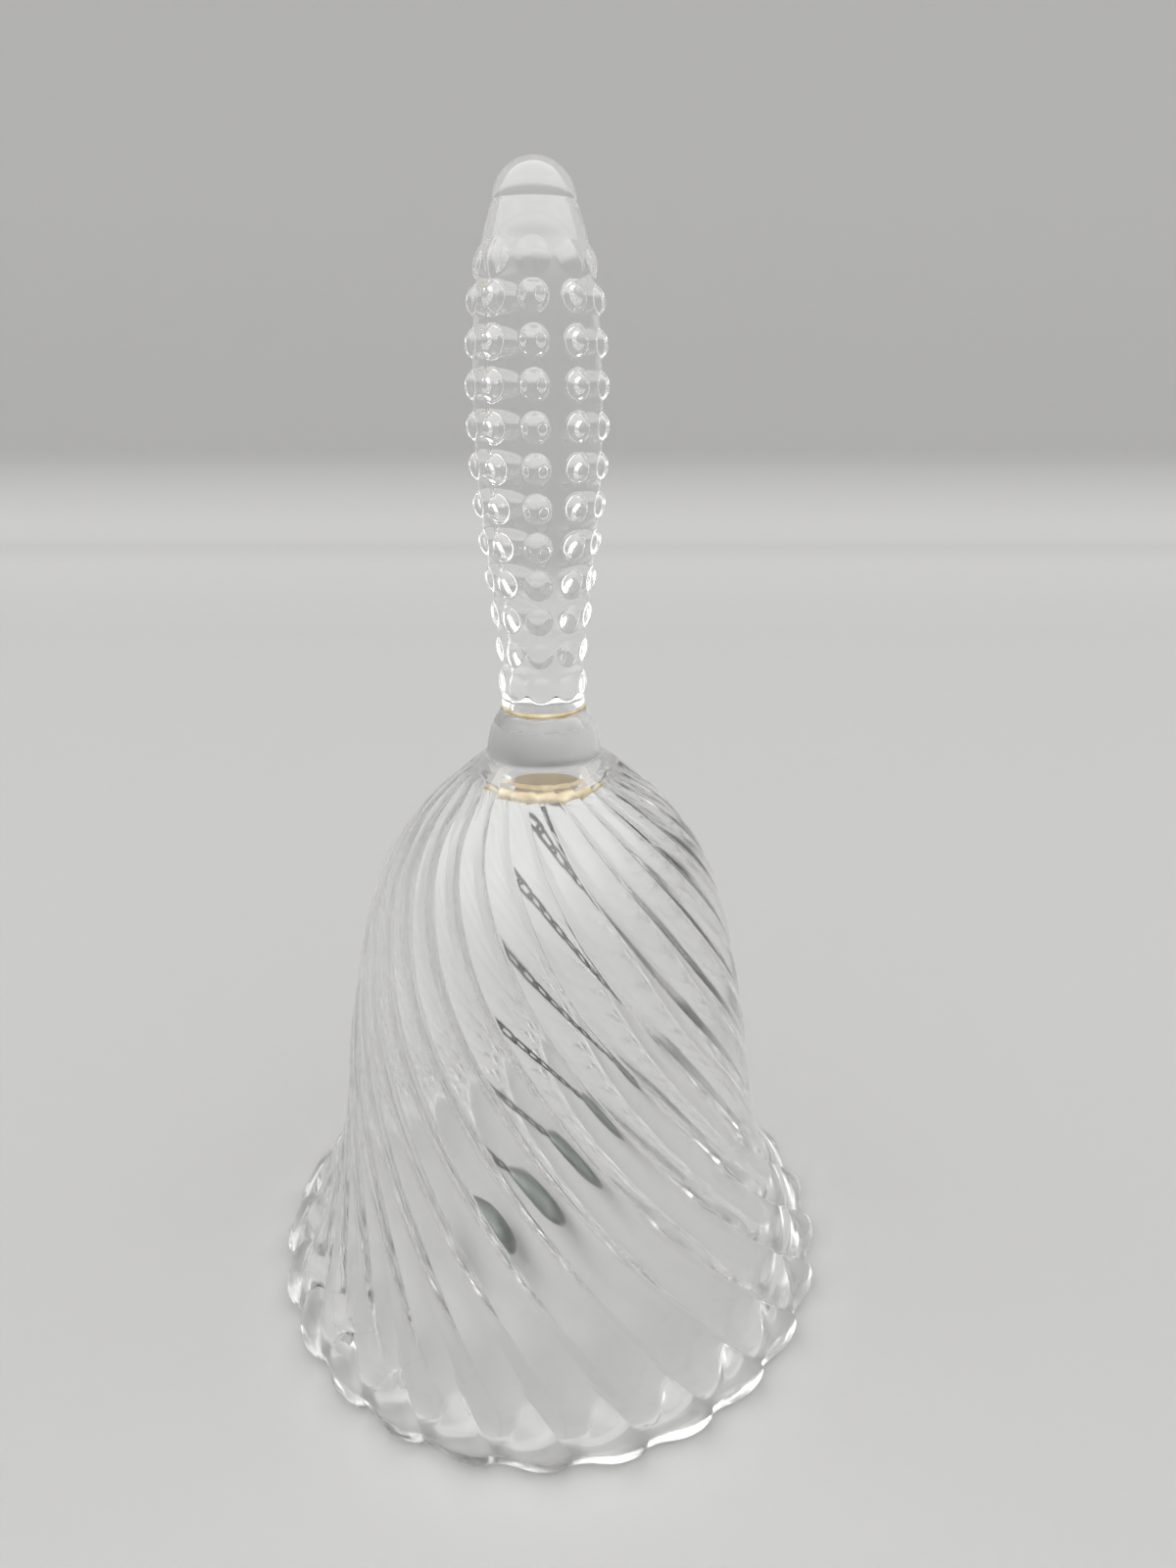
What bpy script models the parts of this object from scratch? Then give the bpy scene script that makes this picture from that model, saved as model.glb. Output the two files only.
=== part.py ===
"""Small glass table bell with a hobnail handle, a chain and a hanging clapper.

The origin is on the bell's axis, in the plane that the rim stands on, with +Z up.
"""

import math

import bmesh
import bpy

MM = 0.001
GAP = 0.3 * MM

# Bell
BELL_HEIGHT = 93.2 * MM  # rim plane to the top of the neck
FLUTES = 26
FLUTE_PHASE = math.radians(-1.6)  # angle of one groove in the rim plane
SAMPLES_PER_FLUTE = 4
LEAN_AT_CROWN = math.radians(18)  # slope of a flute against the meridian
LEAN_AT_RIM = math.radians(36)
LEAN_GROWS_OVER = 40 * MM  # length of wall from the crown to where the full slope is reached
OUTER_RELIEF = 0.055  # flute height as a share of the flute's width
INNER_RELIEF = 0.15
LOBE_RELIEF = 1.4 * MM  # scallops of the rim bead
RELIEF_INSIDE_OUTLINE = 0.6  # share of the relief that lies inside the outline
BEAD_HEIGHT = 6.0 * MM
CROWN_FADE = 9.0 * MM  # flutes die out inside this radius
REST_OUTER_RADIUS = 42.0 * MM  # flat ground ring that the bell stands on
REST_INNER_RADIUS = 39.2 * MM
LIP_HEIGHT = 1.2 * MM  # rounding between the rim bead and the ground ring
LIP_STEP = 0.6 * MM
CAVITY_TOP = 84.0 * MM

# (radius, height) in millimetres, from the top down
NECK_OUTLINE = [(5.9, 93.2), (6.9, 91.8), (7.6, 89.9), (8.0, 87.6)]
SHOULDER_TO_RIM_OUTLINE = [
    (8.2, 87.0), (12.0, 83.8), (18.2, 77.9), (25.0, 66.8), (29.8, 46.7),
    (32.4, 28.5), (36.0, 15.1), (42.2, 5.6), (43.9, 2.8),
]
# (radius, height) in millimetres, from the rim up, along the grooves of the inside
CAVITY_OUTLINE = [
    (38.0, 0.8), (36.2, 5.0), (30.6, 17.5), (27.6, 32.0), (24.4, 54.0),
    (18.6, 71.8), (10.4, 81.6), (6.6, 83.7),
]

# Handle
HANDLE_FOOT = 94.4 * MM
HANDLE_TOP = 159.2 * MM
DOME_RADIUS = 4.95 * MM
DOME_BASE = 154.4 * MM
NUB_ROWS = 11
NUBS_PER_ROW = 9
FIRST_ROW_HEIGHT = 144.2 * MM
ROW_PITCH = 4.68 * MM
NUB_RADIUS = 1.75 * MM
NUB_HEIGHT = 1.0 * MM
BOTTOM_NUB_HEIGHT = 0.5 * MM
NUB_PHASE = math.radians(-90)
CROWN_ROW_HEIGHT = 148.2 * MM  # one row of wider, flatter nubs above the others
CROWN_NUB_RADIUS = 2.0 * MM
CROWN_NUB_RELIEF = 0.6 * MM
HANDLE_SEGMENTS = NUBS_PER_ROW * 4
# heights in millimetres of the rings between the dome and the first row of nubs
UPPER_LEVELS = (154.1, 152.2, 150.2, 149.2, 148.2, 147.2)
# (radius, height) in millimetres, from the top down, between the nubs
HANDLE_OUTLINE = [
    (5.2, 154.1), (6.2, 150.8), (7.4, 144.6), (8.05, 133.0), (7.7, 121.5),
    (6.6, 110.8), (5.7, 101.6), (5.6, 97.5), (5.75, 94.4),
]

# Cement
JOINT_CEMENT_RADIUS = 5.8 * MM
PLUG_TOP_RADIUS = 6.0 * MM
PLUG_RADIUS = 8.2 * MM
PLUG_BOTTOM = 80.4 * MM
EDGE_ROUNDING = 0.15 * MM

# Chain and clapper
WIRE = 0.6 * MM
LINK_WIDTH = 2.4 * MM
LINKS = 16
CHAIN_TURN = math.radians(45)  # of the first link's plane, from the XZ plane
EYE_WIRE = 0.7 * MM
EYE_RADIUS = 1.35 * MM  # middle of the eye's wire
ANCHOR_EYE_HEIGHT = 78.1 * MM
ANCHOR_TOP = 83.2 * MM
CLAPPER_RADIUS = 5.5 * MM
CLAPPER_HEIGHT = 8.8 * MM  # middle of the drop's round end above the rim plane
CLAPPER_TIP_RADIUS = 1.5 * MM
CLAPPER_TIP_HEIGHT = 17.2 * MM  # middle of the drop's narrow end
CLAPPER_EYE_HEIGHT = 20.9 * MM
SHANK_DEPTH = 3.6 * MM  # how far the eye's shank goes into the drop
TURN_STEPS = 32


def clear_scene():
    """Remove everything that the file opened with."""
    for item in list(bpy.data.objects):
        bpy.data.objects.remove(item, do_unlink=True)


def make_collection(name):
    """Add a collection to the scene."""
    collection = bpy.data.collections.new(name)
    bpy.context.scene.collection.children.link(collection)
    return collection


def make_material(name, colour, roughness, metallic=0.0, transmission=0.0):
    """A Principled material in one finish."""
    material = bpy.data.materials.new(name)
    material.use_nodes = True
    shader = material.node_tree.nodes["Principled BSDF"]
    shader.inputs["Base Color"].default_value = (*colour, 1.0)
    shader.inputs["Roughness"].default_value = roughness
    shader.inputs["Metallic"].default_value = metallic
    shader.inputs["Transmission Weight"].default_value = transmission
    material.diffuse_color = (*colour, 1.0)
    return material


def add_object(name, data, collection, material=None):
    """Put mesh or curve data into a collection as a named object."""
    item = bpy.data.objects.new(name, data)
    collection.objects.link(item)
    if material:
        data.materials.append(material)
    return item


def smooth_curve(points, per_span):
    """A curve through (radius, height) points in millimetres, as a list in metres.

    Catmull-Rom spans pass through every point, with per_span steps between two of them.
    """
    first = [2 * points[0][k] - points[1][k] for k in (0, 1)]
    last = [2 * points[-1][k] - points[-2][k] for k in (0, 1)]
    padded = [first, *points, last]
    curve = []
    for i in range(len(points) - 1):
        p0, p1, p2, p3 = padded[i:i + 4]
        for step in range(per_span):
            t = step / per_span
            curve.append(tuple(
                0.5 * MM * (2 * b + (c - a) * t + (2 * a - 5 * b + 4 * c - d) * t * t
                            + (3 * b - a - 3 * c + d) * t ** 3)
                for a, b, c, d in zip(p0, p1, p2, p3)
            ))
    curve.append((points[-1][0] * MM, points[-1][1] * MM))
    return curve


def interpolate(value, xs, ys):
    """Straight-line reading of a table whose xs rise."""
    if value <= xs[0]:
        return ys[0]
    for x0, x1, y0, y1 in zip(xs, xs[1:], ys, ys[1:]):
        if value <= x1:
            return y0 + (y1 - y0) * (value - x0) / (x1 - x0)
    return ys[-1]


def smoothstep(value, low, high):
    """0 below low, 1 above high, with a smooth rise between them."""
    t = min(1.0, max(0.0, (value - low) / (high - low)))
    return t * t * (3 - 2 * t)


def loft(name, rings, top, bottom):
    """A closed mesh through rings of equal count, with a pole at each end."""
    mesh_builder = bmesh.new()
    rows = [[mesh_builder.verts.new(point) for point in ring] for ring in rings]
    count = len(rows[0])
    first = mesh_builder.verts.new(top)
    last = mesh_builder.verts.new(bottom)
    for k in range(count):
        n = (k + 1) % count
        mesh_builder.faces.new((first, rows[0][k], rows[0][n]))
        mesh_builder.faces.new((last, rows[-1][n], rows[-1][k]))
        for upper, lower in zip(rows, rows[1:]):
            mesh_builder.faces.new((upper[k], lower[k], lower[n], upper[n]))
    mesh = bpy.data.meshes.new(name)
    mesh_builder.to_mesh(mesh)
    mesh_builder.free()
    return mesh


def shade_round(item, sharp_degrees=50):
    """Smooth shading that keeps hard edges."""
    item.data.shade_smooth()
    item.data.set_sharp_from_angle(angle=math.radians(sharp_degrees))


def turned(name, outline, collection, material):
    """A turned solid: a profile at +X that runs down its outer side, with a Screw modifier."""
    mesh = bpy.data.meshes.new(name)
    count = len(outline)
    closed = outline[0][0] > 0 and outline[-1][0] > 0
    edges = [(k, k + 1) for k in range(count - 1)]
    if closed:
        edges.append((count - 1, 0))
    mesh.from_pydata([(r, 0, z) for r, z in outline], edges, [])
    item = add_object(name, mesh, collection, material)
    screw = item.modifiers.new("turn", "SCREW")
    screw.axis = "Z"
    screw.steps = TURN_STEPS
    screw.render_steps = TURN_STEPS
    screw.use_merge_vertices = True
    screw.merge_threshold = 0.00001
    screw.use_smooth_shade = True
    return item


# ---------------------------------------------------------------- glass bell

def twist_table(outer):
    """Heights, rising, and the turn of the flutes there, counted from the rim plane."""
    run = 0.0
    turns = [0.0]
    for (r0, z0), (r1, z1) in zip(outer, outer[1:]):
        length = math.hypot(r1 - r0, z1 - z0)
        run += length
        share = min(1.0, run / LEAN_GROWS_OVER)
        lean = LEAN_AT_CROWN + (LEAN_AT_RIM - LEAN_AT_CROWN) * share
        turns.append(turns[-1] + math.tan(lean) * length / (0.5 * (r0 + r1)))
    total = turns[-1]
    heights = [z for _, z in outer]
    return heights[::-1], [turn - total for turn in turns][::-1]


def bulge(share):
    """Height of a flute across its width, from 0 in the groove to 1 on the crest."""
    return 1 - (2 * share - 1) ** 2


def outer_relief(radius, height):
    """Flute height on the outside."""
    width = 2 * math.pi * radius / FLUTES
    body = OUTER_RELIEF * width * smoothstep(radius, 0.9 * CROWN_FADE, 1.3 * CROWN_FADE)
    lobe = 1 - smoothstep(height, 0.6 * BEAD_HEIGHT, 1.3 * BEAD_HEIGHT)
    return body + (LOBE_RELIEF - body) * lobe


def inner_relief(radius, height):
    """Rib height on the inside, which dies out towards the rim and the crown."""
    width = 2 * math.pi * radius / FLUTES
    at_rim = smoothstep(height, 1.0 * MM, 4 * BEAD_HEIGHT)
    at_crown = smoothstep(radius, 0.8 * CROWN_FADE, 1.4 * CROWN_FADE)
    return INNER_RELIEF * width * at_rim * at_crown


def fluted_ring(radius, height, relief, turn):
    """One ring of the bell; radius is that of the grooves, and relief stands out from it."""
    ring = []
    for k in range(FLUTES * SAMPLES_PER_FLUTE):
        share = (k % SAMPLES_PER_FLUTE) / SAMPLES_PER_FLUTE
        angle = FLUTE_PHASE + turn + 2 * math.pi * k / (FLUTES * SAMPLES_PER_FLUTE)
        r = radius + relief * bulge(share)
        ring.append((r * math.cos(angle), r * math.sin(angle), height))
    return ring


def bell_rings():
    """Rings from the neck's top down the outside, round the rim and up the cavity."""
    neck = smooth_curve(NECK_OUTLINE, 1)
    outer = smooth_curve(SHOULDER_TO_RIM_OUTLINE, 2)
    cavity = smooth_curve(CAVITY_OUTLINE, 2)
    heights, turns = twist_table(outer)

    def turn_at(z):
        return interpolate(z, heights, turns)

    rings = [fluted_ring(r, z, 0.0, turn_at(z)) for r, z in neck]
    for r, z in outer:
        relief = outer_relief(r, z)
        groove_radius = r - RELIEF_INSIDE_OUTLINE * relief
        rings.append(fluted_ring(groove_radius, z, relief, turn_at(z)))
    lip = REST_OUTER_RADIUS + LIP_STEP
    rings.append(fluted_ring(lip, LIP_HEIGHT, 0.8 * LOBE_RELIEF, turn_at(0)))
    rings.append(fluted_ring(REST_OUTER_RADIUS, 0.0, 0.35 * LOBE_RELIEF, turn_at(0)))
    rings.append(fluted_ring(REST_INNER_RADIUS, 0.0, 0.0, turn_at(0)))
    for r, z in cavity:
        rings.append(fluted_ring(r, z, -inner_relief(r, z), turn_at(z)))
    return rings


def build_bell(collection, material):
    """The blown bell: fluted wall, scalloped rim and solid neck in one piece of glass."""
    mesh = loft("bell", bell_rings(), (0, 0, BELL_HEIGHT), (0, 0, CAVITY_TOP))
    bell = add_object("bell", mesh, collection, material)
    shade_round(bell)
    return bell


# -------------------------------------------------------------------- handle

def angle_between(a, b):
    """Smallest difference of two angles."""
    return abs((a - b + math.pi) % (2 * math.pi) - math.pi)


def dome_height(across, along):
    """Height of a round nub at a distance from its middle, as shares of its radius."""
    return max(0.0, 1 - across * across - along * along)


def nub_relief(radius, height, angle):
    """How far the hobnail pattern stands off the handle."""
    pitch = 2 * math.pi / NUBS_PER_ROW
    nearest = NUB_PHASE + pitch * round((angle - NUB_PHASE) / pitch)
    off = radius * angle_between(angle, nearest)
    row = round((FIRST_ROW_HEIGHT - height) / ROW_PITCH)
    if 0 <= row < NUB_ROWS:
        along = height - (FIRST_ROW_HEIGHT - row * ROW_PITCH)
        top = NUB_HEIGHT + (BOTTOM_NUB_HEIGHT - NUB_HEIGHT) * smoothstep(row, 6, NUB_ROWS)
        return top * dome_height(off / NUB_RADIUS, along / NUB_RADIUS)
    along = height - CROWN_ROW_HEIGHT
    return CROWN_NUB_RELIEF * dome_height(off / CROWN_NUB_RADIUS, along / CROWN_NUB_RADIUS)


def handle_levels():
    """Radius and height of the handle's rings, from the dome down to the foot."""
    levels = []
    rise = HANDLE_TOP - DOME_BASE
    for k in range(1, 5):
        a = 0.5 * math.pi * k / 4
        levels.append((DOME_RADIUS * math.sin(a), DOME_BASE + rise * math.cos(a)))
    outline = smooth_curve(HANDLE_OUTLINE, 4)
    heights = [z for _, z in outline][::-1]
    radii = [r for r, _ in outline][::-1]
    cells = [FIRST_ROW_HEIGHT + ROW_PITCH * (0.5 - 0.25 * k) for k in range(4 * NUB_ROWS + 1)]
    for z in [height * MM for height in UPPER_LEVELS] + cells + [HANDLE_FOOT]:
        levels.append((interpolate(z, heights, radii), z))
    return levels


def build_handle(collection, material):
    """The solid pressed handle with its rows of nubs."""
    rings = []
    for radius, height in handle_levels():
        ring = []
        for k in range(HANDLE_SEGMENTS):
            angle = NUB_PHASE + 2 * math.pi * k / HANDLE_SEGMENTS
            r = radius + nub_relief(radius, height, angle)
            ring.append((r * math.cos(angle), r * math.sin(angle), height))
        rings.append(ring)
    mesh = loft("handle", rings, (0, 0, HANDLE_TOP), (0, 0, HANDLE_FOOT))
    handle = add_object("handle", mesh, collection, material)
    shade_round(handle)
    return handle


# -------------------------------------------------------------------- cement

def build_handle_cement(collection, material):
    """The thin yellowed layer between the neck and the handle's foot."""
    low = BELL_HEIGHT + GAP
    high = HANDLE_FOOT - GAP
    outline = [
        (0, high),
        (JOINT_CEMENT_RADIUS - EDGE_ROUNDING, high),
        (JOINT_CEMENT_RADIUS, 0.5 * (low + high)),
        (JOINT_CEMENT_RADIUS - EDGE_ROUNDING, low),
        (0, low),
    ]
    return turned("handle_cement", outline, collection, material)


def build_crown_cement(collection, material):
    """The plug in the crown that holds the anchor, with a hole for its shank."""
    top = CAVITY_TOP - GAP
    hole = 0.5 * EYE_WIRE + GAP
    outline = [
        (hole, top),
        (PLUG_TOP_RADIUS, top),
        (PLUG_RADIUS, top - 1.3 * MM),
        (PLUG_RADIUS - 0.6 * MM, PLUG_BOTTOM + 1.0 * MM),
        (PLUG_RADIUS - 3.6 * MM, PLUG_BOTTOM + 0.2 * MM),
        (hole, PLUG_BOTTOM),
    ]
    return turned("crown_cement", outline, collection, material)


# --------------------------------------------------------- chain and clapper

def eye_with_shank(name, eye_height, shank_span, turn, collection, material):
    """A standing wire eye with a straight shank, joined into one solid.

    The eye lies in the XZ plane, turned about the bell's axis by turn.
    """
    shank_low, shank_high = shank_span
    bpy.ops.mesh.primitive_torus_add(
        major_radius=EYE_RADIUS, minor_radius=0.5 * EYE_WIRE,
        major_segments=20, minor_segments=8,
        location=(0, 0, eye_height), rotation=(math.pi / 2, 0, turn),
    )
    eye = bpy.context.object
    eye.name = name
    eye.data.name = name
    eye.data.materials.append(material)
    for other in list(eye.users_collection):
        other.objects.unlink(eye)
    collection.objects.link(eye)
    bpy.ops.mesh.primitive_cylinder_add(
        vertices=12, radius=0.5 * EYE_WIRE, depth=shank_high - shank_low,
        location=(0, 0, 0.5 * (shank_low + shank_high)),
    )
    shank = bpy.context.object
    join = eye.modifiers.new("join_shank", "BOOLEAN")
    join.operation = "UNION"
    join.object = shank
    return eye, shank


def hide_cutter(item, cutters):
    """Keep a helper solid out of the model."""
    for other in list(item.users_collection):
        other.objects.unlink(item)
    cutters.objects.link(item)
    item.hide_render = True
    item.display_type = "WIRE"


def contact_height(index):
    """Height of contact number index in the chain; 0 is on the anchor's eye."""
    top = ANCHOR_EYE_HEIGHT - EYE_RADIUS
    bottom = CLAPPER_EYE_HEIGHT + EYE_RADIUS - (0.5 * (WIRE + EYE_WIRE) + GAP)
    return top + (bottom - top) * index / LINKS


def build_chain_link(number, collection, material):
    """One closed oval link, whose origin is on the wire that it hangs from."""
    upper = contact_height(number - 1)
    lower = contact_height(number)
    parent_wire = EYE_WIRE if number == 1 else WIRE
    top = 0.5 * (parent_wire + WIRE) + GAP
    bottom = lower - upper
    arc_radius = 0.5 * (LINK_WIDTH - WIRE)
    ends = ((top - arc_radius, 0.0), (bottom + arc_radius, math.pi))
    curve = bpy.data.curves.new(f"chain_link_{number:02d}", "CURVE")
    curve.dimensions = "3D"
    curve.bevel_depth = 0.5 * WIRE
    curve.bevel_resolution = 1
    spline = curve.splines.new("POLY")
    points = []
    for middle, start in ends:
        for k in range(7):
            a = start + math.pi * k / 6
            points.append((arc_radius * math.cos(a), middle + arc_radius * math.sin(a)))
    spline.points.add(len(points) - 1)
    for point, (side, z) in zip(spline.points, points):
        point.co = (side, 0, z, 1)
    spline.use_cyclic_u = True
    link = add_object(f"chain_link_{number:02d}", curve, collection, material)
    link.location = (0, 0, upper)
    quarter_turns = (number - 1) % 2
    link.rotation_euler = (0, 0, CHAIN_TURN + 0.5 * math.pi * quarter_turns)
    return link


def build_anchor(collection, cutters, material):
    """The wire eye that is cemented into the crown."""
    low = ANCHOR_EYE_HEIGHT + EYE_RADIUS
    anchor, shank = eye_with_shank(
        "chain_anchor", ANCHOR_EYE_HEIGHT, (low, ANCHOR_TOP), CHAIN_TURN + 0.5 * math.pi,
        collection, material)
    hide_cutter(shank, cutters)
    return anchor


def build_clapper_eye(collection, cutters, material):
    """The wire eye that is set in the clapper."""
    low = CLAPPER_TIP_HEIGHT + CLAPPER_TIP_RADIUS - SHANK_DEPTH
    high = CLAPPER_EYE_HEIGHT - EYE_RADIUS
    eye, shank = eye_with_shank(
        "clapper_eye", CLAPPER_EYE_HEIGHT, (low, high), CHAIN_TURN, collection, material)
    hide_cutter(shank, cutters)
    return eye


def arc(radius, height, start, end, steps):
    """Points on an arc about the axis point at a height; angles are counted from the horizontal."""
    points = []
    for k in range(steps + 1):
        a = start + (end - start) * k / steps
        points.append((radius * math.cos(a), height + radius * math.sin(a)))
    return points


def build_clapper(collection, material):
    """The drop: a narrow end, a straight taper and a round end, drilled for its eye."""
    hole = 0.5 * EYE_WIRE + GAP
    floor = CLAPPER_TIP_HEIGHT + CLAPPER_TIP_RADIUS - SHANK_DEPTH - GAP
    taper = math.asin((CLAPPER_RADIUS - CLAPPER_TIP_RADIUS) / (CLAPPER_TIP_HEIGHT - CLAPPER_HEIGHT))
    edge = math.acos(hole / CLAPPER_TIP_RADIUS)
    narrow_end = arc(CLAPPER_TIP_RADIUS, CLAPPER_TIP_HEIGHT, edge, taper, 3)
    round_end = arc(CLAPPER_RADIUS, CLAPPER_HEIGHT, taper, -0.5 * math.pi, 12)
    round_end[-1] = (0.0, CLAPPER_HEIGHT - CLAPPER_RADIUS)
    outline = [(0.0, floor), (hole, floor), *narrow_end, *round_end]
    return turned("clapper", outline, collection, material)


def main():
    """Build the whole bell."""
    clear_scene()
    parts = make_collection("glass_bell")
    cutters = make_collection("cutters")
    glass = make_material("bell_glass", (0.93, 0.95, 0.94), 0.05, transmission=1.0)
    pressed = make_material("handle_glass", (0.94, 0.95, 0.95), 0.04, transmission=1.0)
    cement = make_material("aged_cement", (0.72, 0.55, 0.26), 0.45)
    steel = make_material("chain_steel", (0.42, 0.42, 0.40), 0.35, metallic=1.0)
    clapper_metal = make_material("clapper_metal", (0.46, 0.50, 0.47), 0.3, metallic=1.0)
    build_bell(parts, glass)
    build_handle(parts, pressed)
    build_handle_cement(parts, cement)
    build_crown_cement(parts, cement)
    build_anchor(parts, cutters, steel)
    for number in range(1, LINKS + 1):
        build_chain_link(number, parts, steel)
    build_clapper_eye(parts, cutters, steel)
    build_clapper(parts, clapper_metal)


main()
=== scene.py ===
"""Glass hand bell with a knobbed handle, standing on a pale table in soft studio light.

All sizes are in metres in the frame's own axes: +Z up the bell's axis, -Y towards the camera.
"""

import math

import bmesh
import bpy
import numpy as np
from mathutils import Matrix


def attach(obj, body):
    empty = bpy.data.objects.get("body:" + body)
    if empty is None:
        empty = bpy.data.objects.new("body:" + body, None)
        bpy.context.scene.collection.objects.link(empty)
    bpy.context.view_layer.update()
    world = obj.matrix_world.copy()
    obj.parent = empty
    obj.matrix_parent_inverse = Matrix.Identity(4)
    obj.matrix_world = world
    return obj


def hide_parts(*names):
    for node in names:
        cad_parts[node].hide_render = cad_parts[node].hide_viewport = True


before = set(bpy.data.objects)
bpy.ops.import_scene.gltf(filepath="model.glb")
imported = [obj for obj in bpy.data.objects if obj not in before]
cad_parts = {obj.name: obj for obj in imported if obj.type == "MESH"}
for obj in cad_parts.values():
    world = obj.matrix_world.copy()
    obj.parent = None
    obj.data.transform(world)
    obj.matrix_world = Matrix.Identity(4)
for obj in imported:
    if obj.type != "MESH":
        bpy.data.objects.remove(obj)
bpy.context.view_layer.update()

MM = 0.001
BODY = "bell_body"

# Bell wall: the CAD model's own outlines, as (radius, height) in millimetres
NECK_OUTLINE = [(5.9, 93.4), (6.9, 91.8), (7.6, 89.9), (8.0, 87.6)]
SHOULDER_TO_RIM_OUTLINE = [
    (8.2, 87.0), (12.0, 83.8), (18.2, 77.9), (25.0, 66.8), (29.8, 46.7),
    (32.4, 28.5), (36.0, 15.1), (42.2, 5.6), (43.9, 2.8),
]
CAVITY_OUTLINE = [
    (38.0, 0.8), (36.2, 5.0), (30.6, 17.5), (27.6, 32.0), (24.4, 54.0),
    (18.6, 71.8), (10.4, 81.6), (6.6, 83.7),
]
CAVITY_TOP = 84.0 * MM
SATIN_SPAN = (87.0 * MM, 91.9 * MM)  # the band of the neck that was ground for the cement
SATIN_EDGE = 0.4 * MM  # height over which the ground surface fades in
SATIN_ROUGHNESS = 0.35
FLUTES = 26
FLUTE_PHASE = math.radians(-1.6)
FLUTE_SAMPLES = 16
GROOVE_CROWDING = 0.6  # how much closer the points lie near a groove
LEAN_AT_CROWN = math.radians(18)
LEAN_AT_RIM = math.radians(36)
LEAN_GROWS_OVER = 40 * MM
OUTER_RELIEF = 0.055  # share of a flute's width
INNER_RELIEF = 0.15
INNER_RELIEF_FADE = 22 * MM  # height below which the ribs sink into the rim
CROWN_FADE = 9.0 * MM  # radius about which the flutes die out at the crown
RELIEF_INSIDE_OUTLINE = 0.6  # share of the relief that is cut into the outline
REST_OUTER_RADIUS = 42.0 * MM
REST_INNER_RADIUS = 39.2 * MM
BEAD_HEIGHT = 2.8 * MM  # height of the rim's widest ring
LOBE_RELIEF = 1.3 * MM
LOBE_STEP = 0.25  # share of the relief that stands up at once at a lobe's upper edge
LOBE_LOW = 4.2 * MM  # height of a lobe's upper edge at its low end
LOBE_HIGH = 8.4 * MM
LOBE_RISE = (0.15, 0.95)  # places along a lobe between which its upper edge rises
LOBE_SWELL = (0.1, 0.62)  # and between which it swells to its full relief
LOBE_END = 0.7  # place from which it falls to the valley before the next lobe
LOBE_BLEND = (3.6 * MM, 7.8 * MM)  # heights between which the flutes give way to lobes
EDGE_DROP = 0.1 * MM  # height over which the relief steps up at a lobe's upper edge
LOBE_TOP_ROW = 14.0 * MM  # rows below this height bend along the lobes' upper edges
ROWS_ABOVE_LOBES = 16
ROWS_ON_LOBES = 14
LOBE_ROW_POWER = 1.5  # above 1, rows lie closer together near a lobe's upper edge
ROWS_ROUND_LIP = 7

# Handle
HANDLE_FOOT = 94.2 * MM
HANDLE_TOP = 159.2 * MM
DOME_RADIUS = 4.95 * MM
DOME_BASE = 154.4 * MM
NUB_ROWS = 11
NUBS_PER_ROW = 9
FIRST_ROW = 144.2 * MM
ROW_PITCH = 4.68 * MM
NUB_RADIUS = 1.75 * MM
NUB_HEIGHT = 1.0 * MM
BOTTOM_NUB_HEIGHT = 0.5 * MM
LAST_FULL_ROW = 4  # rows below this one, counted from 0 at the top, get flatter
NUB_PHASE = math.radians(-90)
CROWN_ROW = 148.2 * MM
CROWN_NUB_RADIUS = 2.0 * MM
CROWN_NUB_RELIEF = 0.6 * MM
HANDLE_OUTLINE = [
    (5.2, 154.1), (6.2, 150.8), (7.4, 144.6), (8.05, 133.0), (7.7, 121.5),
    (6.6, 110.8), (5.7, 101.6), (5.6, 97.5), (5.75, 94.2),
]
DOME_ROWS = 24
HANDLE_SEGMENTS = 280
HANDLE_ROW_STEP = 0.22 * MM
SEAM_ANGLES = (math.radians(-135), math.radians(45))  # where the mould's halves met
SEAM_WIDTH = 0.18 * MM
SEAM_HEIGHT = 0.12 * MM

# Cement
JOINT_CEMENT_RADIUS = 5.85 * MM
JOINT_CEMENT_SPAN = (93.5 * MM, 94.1 * MM)
# (inset from the radius, depth below the top) of the layer's edge, in millimetres
JOINT_CEMENT_EDGE = [(0.25, 0.0), (0.08, 0.1), (0.05, 0.3), (0.08, 0.5), (0.25, 0.6)]
PLUG_TOP = 83.7 * MM
PLUG_TOP_RADIUS = 6.0 * MM
PLUG_RADIUS = 8.2 * MM
PLUG_BOTTOM = 80.4 * MM
PLUG_HOLE = 0.65 * MM
PLUG_SHOULDER = 82.4 * MM
PLUG_HEM = 81.4 * MM

# Chain and clapper: the CAD model's sizes
GAP = 0.3 * MM
WIRE = 0.6 * MM
LINK_WIDTH = 2.4 * MM
LINKS = 16
CHAIN_TURN = math.radians(45)
EYE_WIRE = 0.7 * MM
EYE_RADIUS = 1.35 * MM
ANCHOR_EYE_HEIGHT = 78.1 * MM
ANCHOR_TOP = 83.2 * MM
CLAPPER_RADIUS = 5.5 * MM
CLAPPER_HEIGHT = 8.8 * MM
CLAPPER_TIP_RADIUS = 1.5 * MM
CLAPPER_TIP_HEIGHT = 17.2 * MM
CLAPPER_EYE_HEIGHT = 20.9 * MM
SHANK_DEPTH = 3.6 * MM
WIRE_SIDES = 14
ARC_STEPS = 16  # along the half circle at a link's end
EYE_STEPS = 40
EYE_LEAD = (0.9 * MM, 0.3 * MM)  # where the straight shank ends, outside the eye's middle line
EYE_SPAN = (math.radians(20), math.radians(350))  # where the bent wire starts and ends

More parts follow.
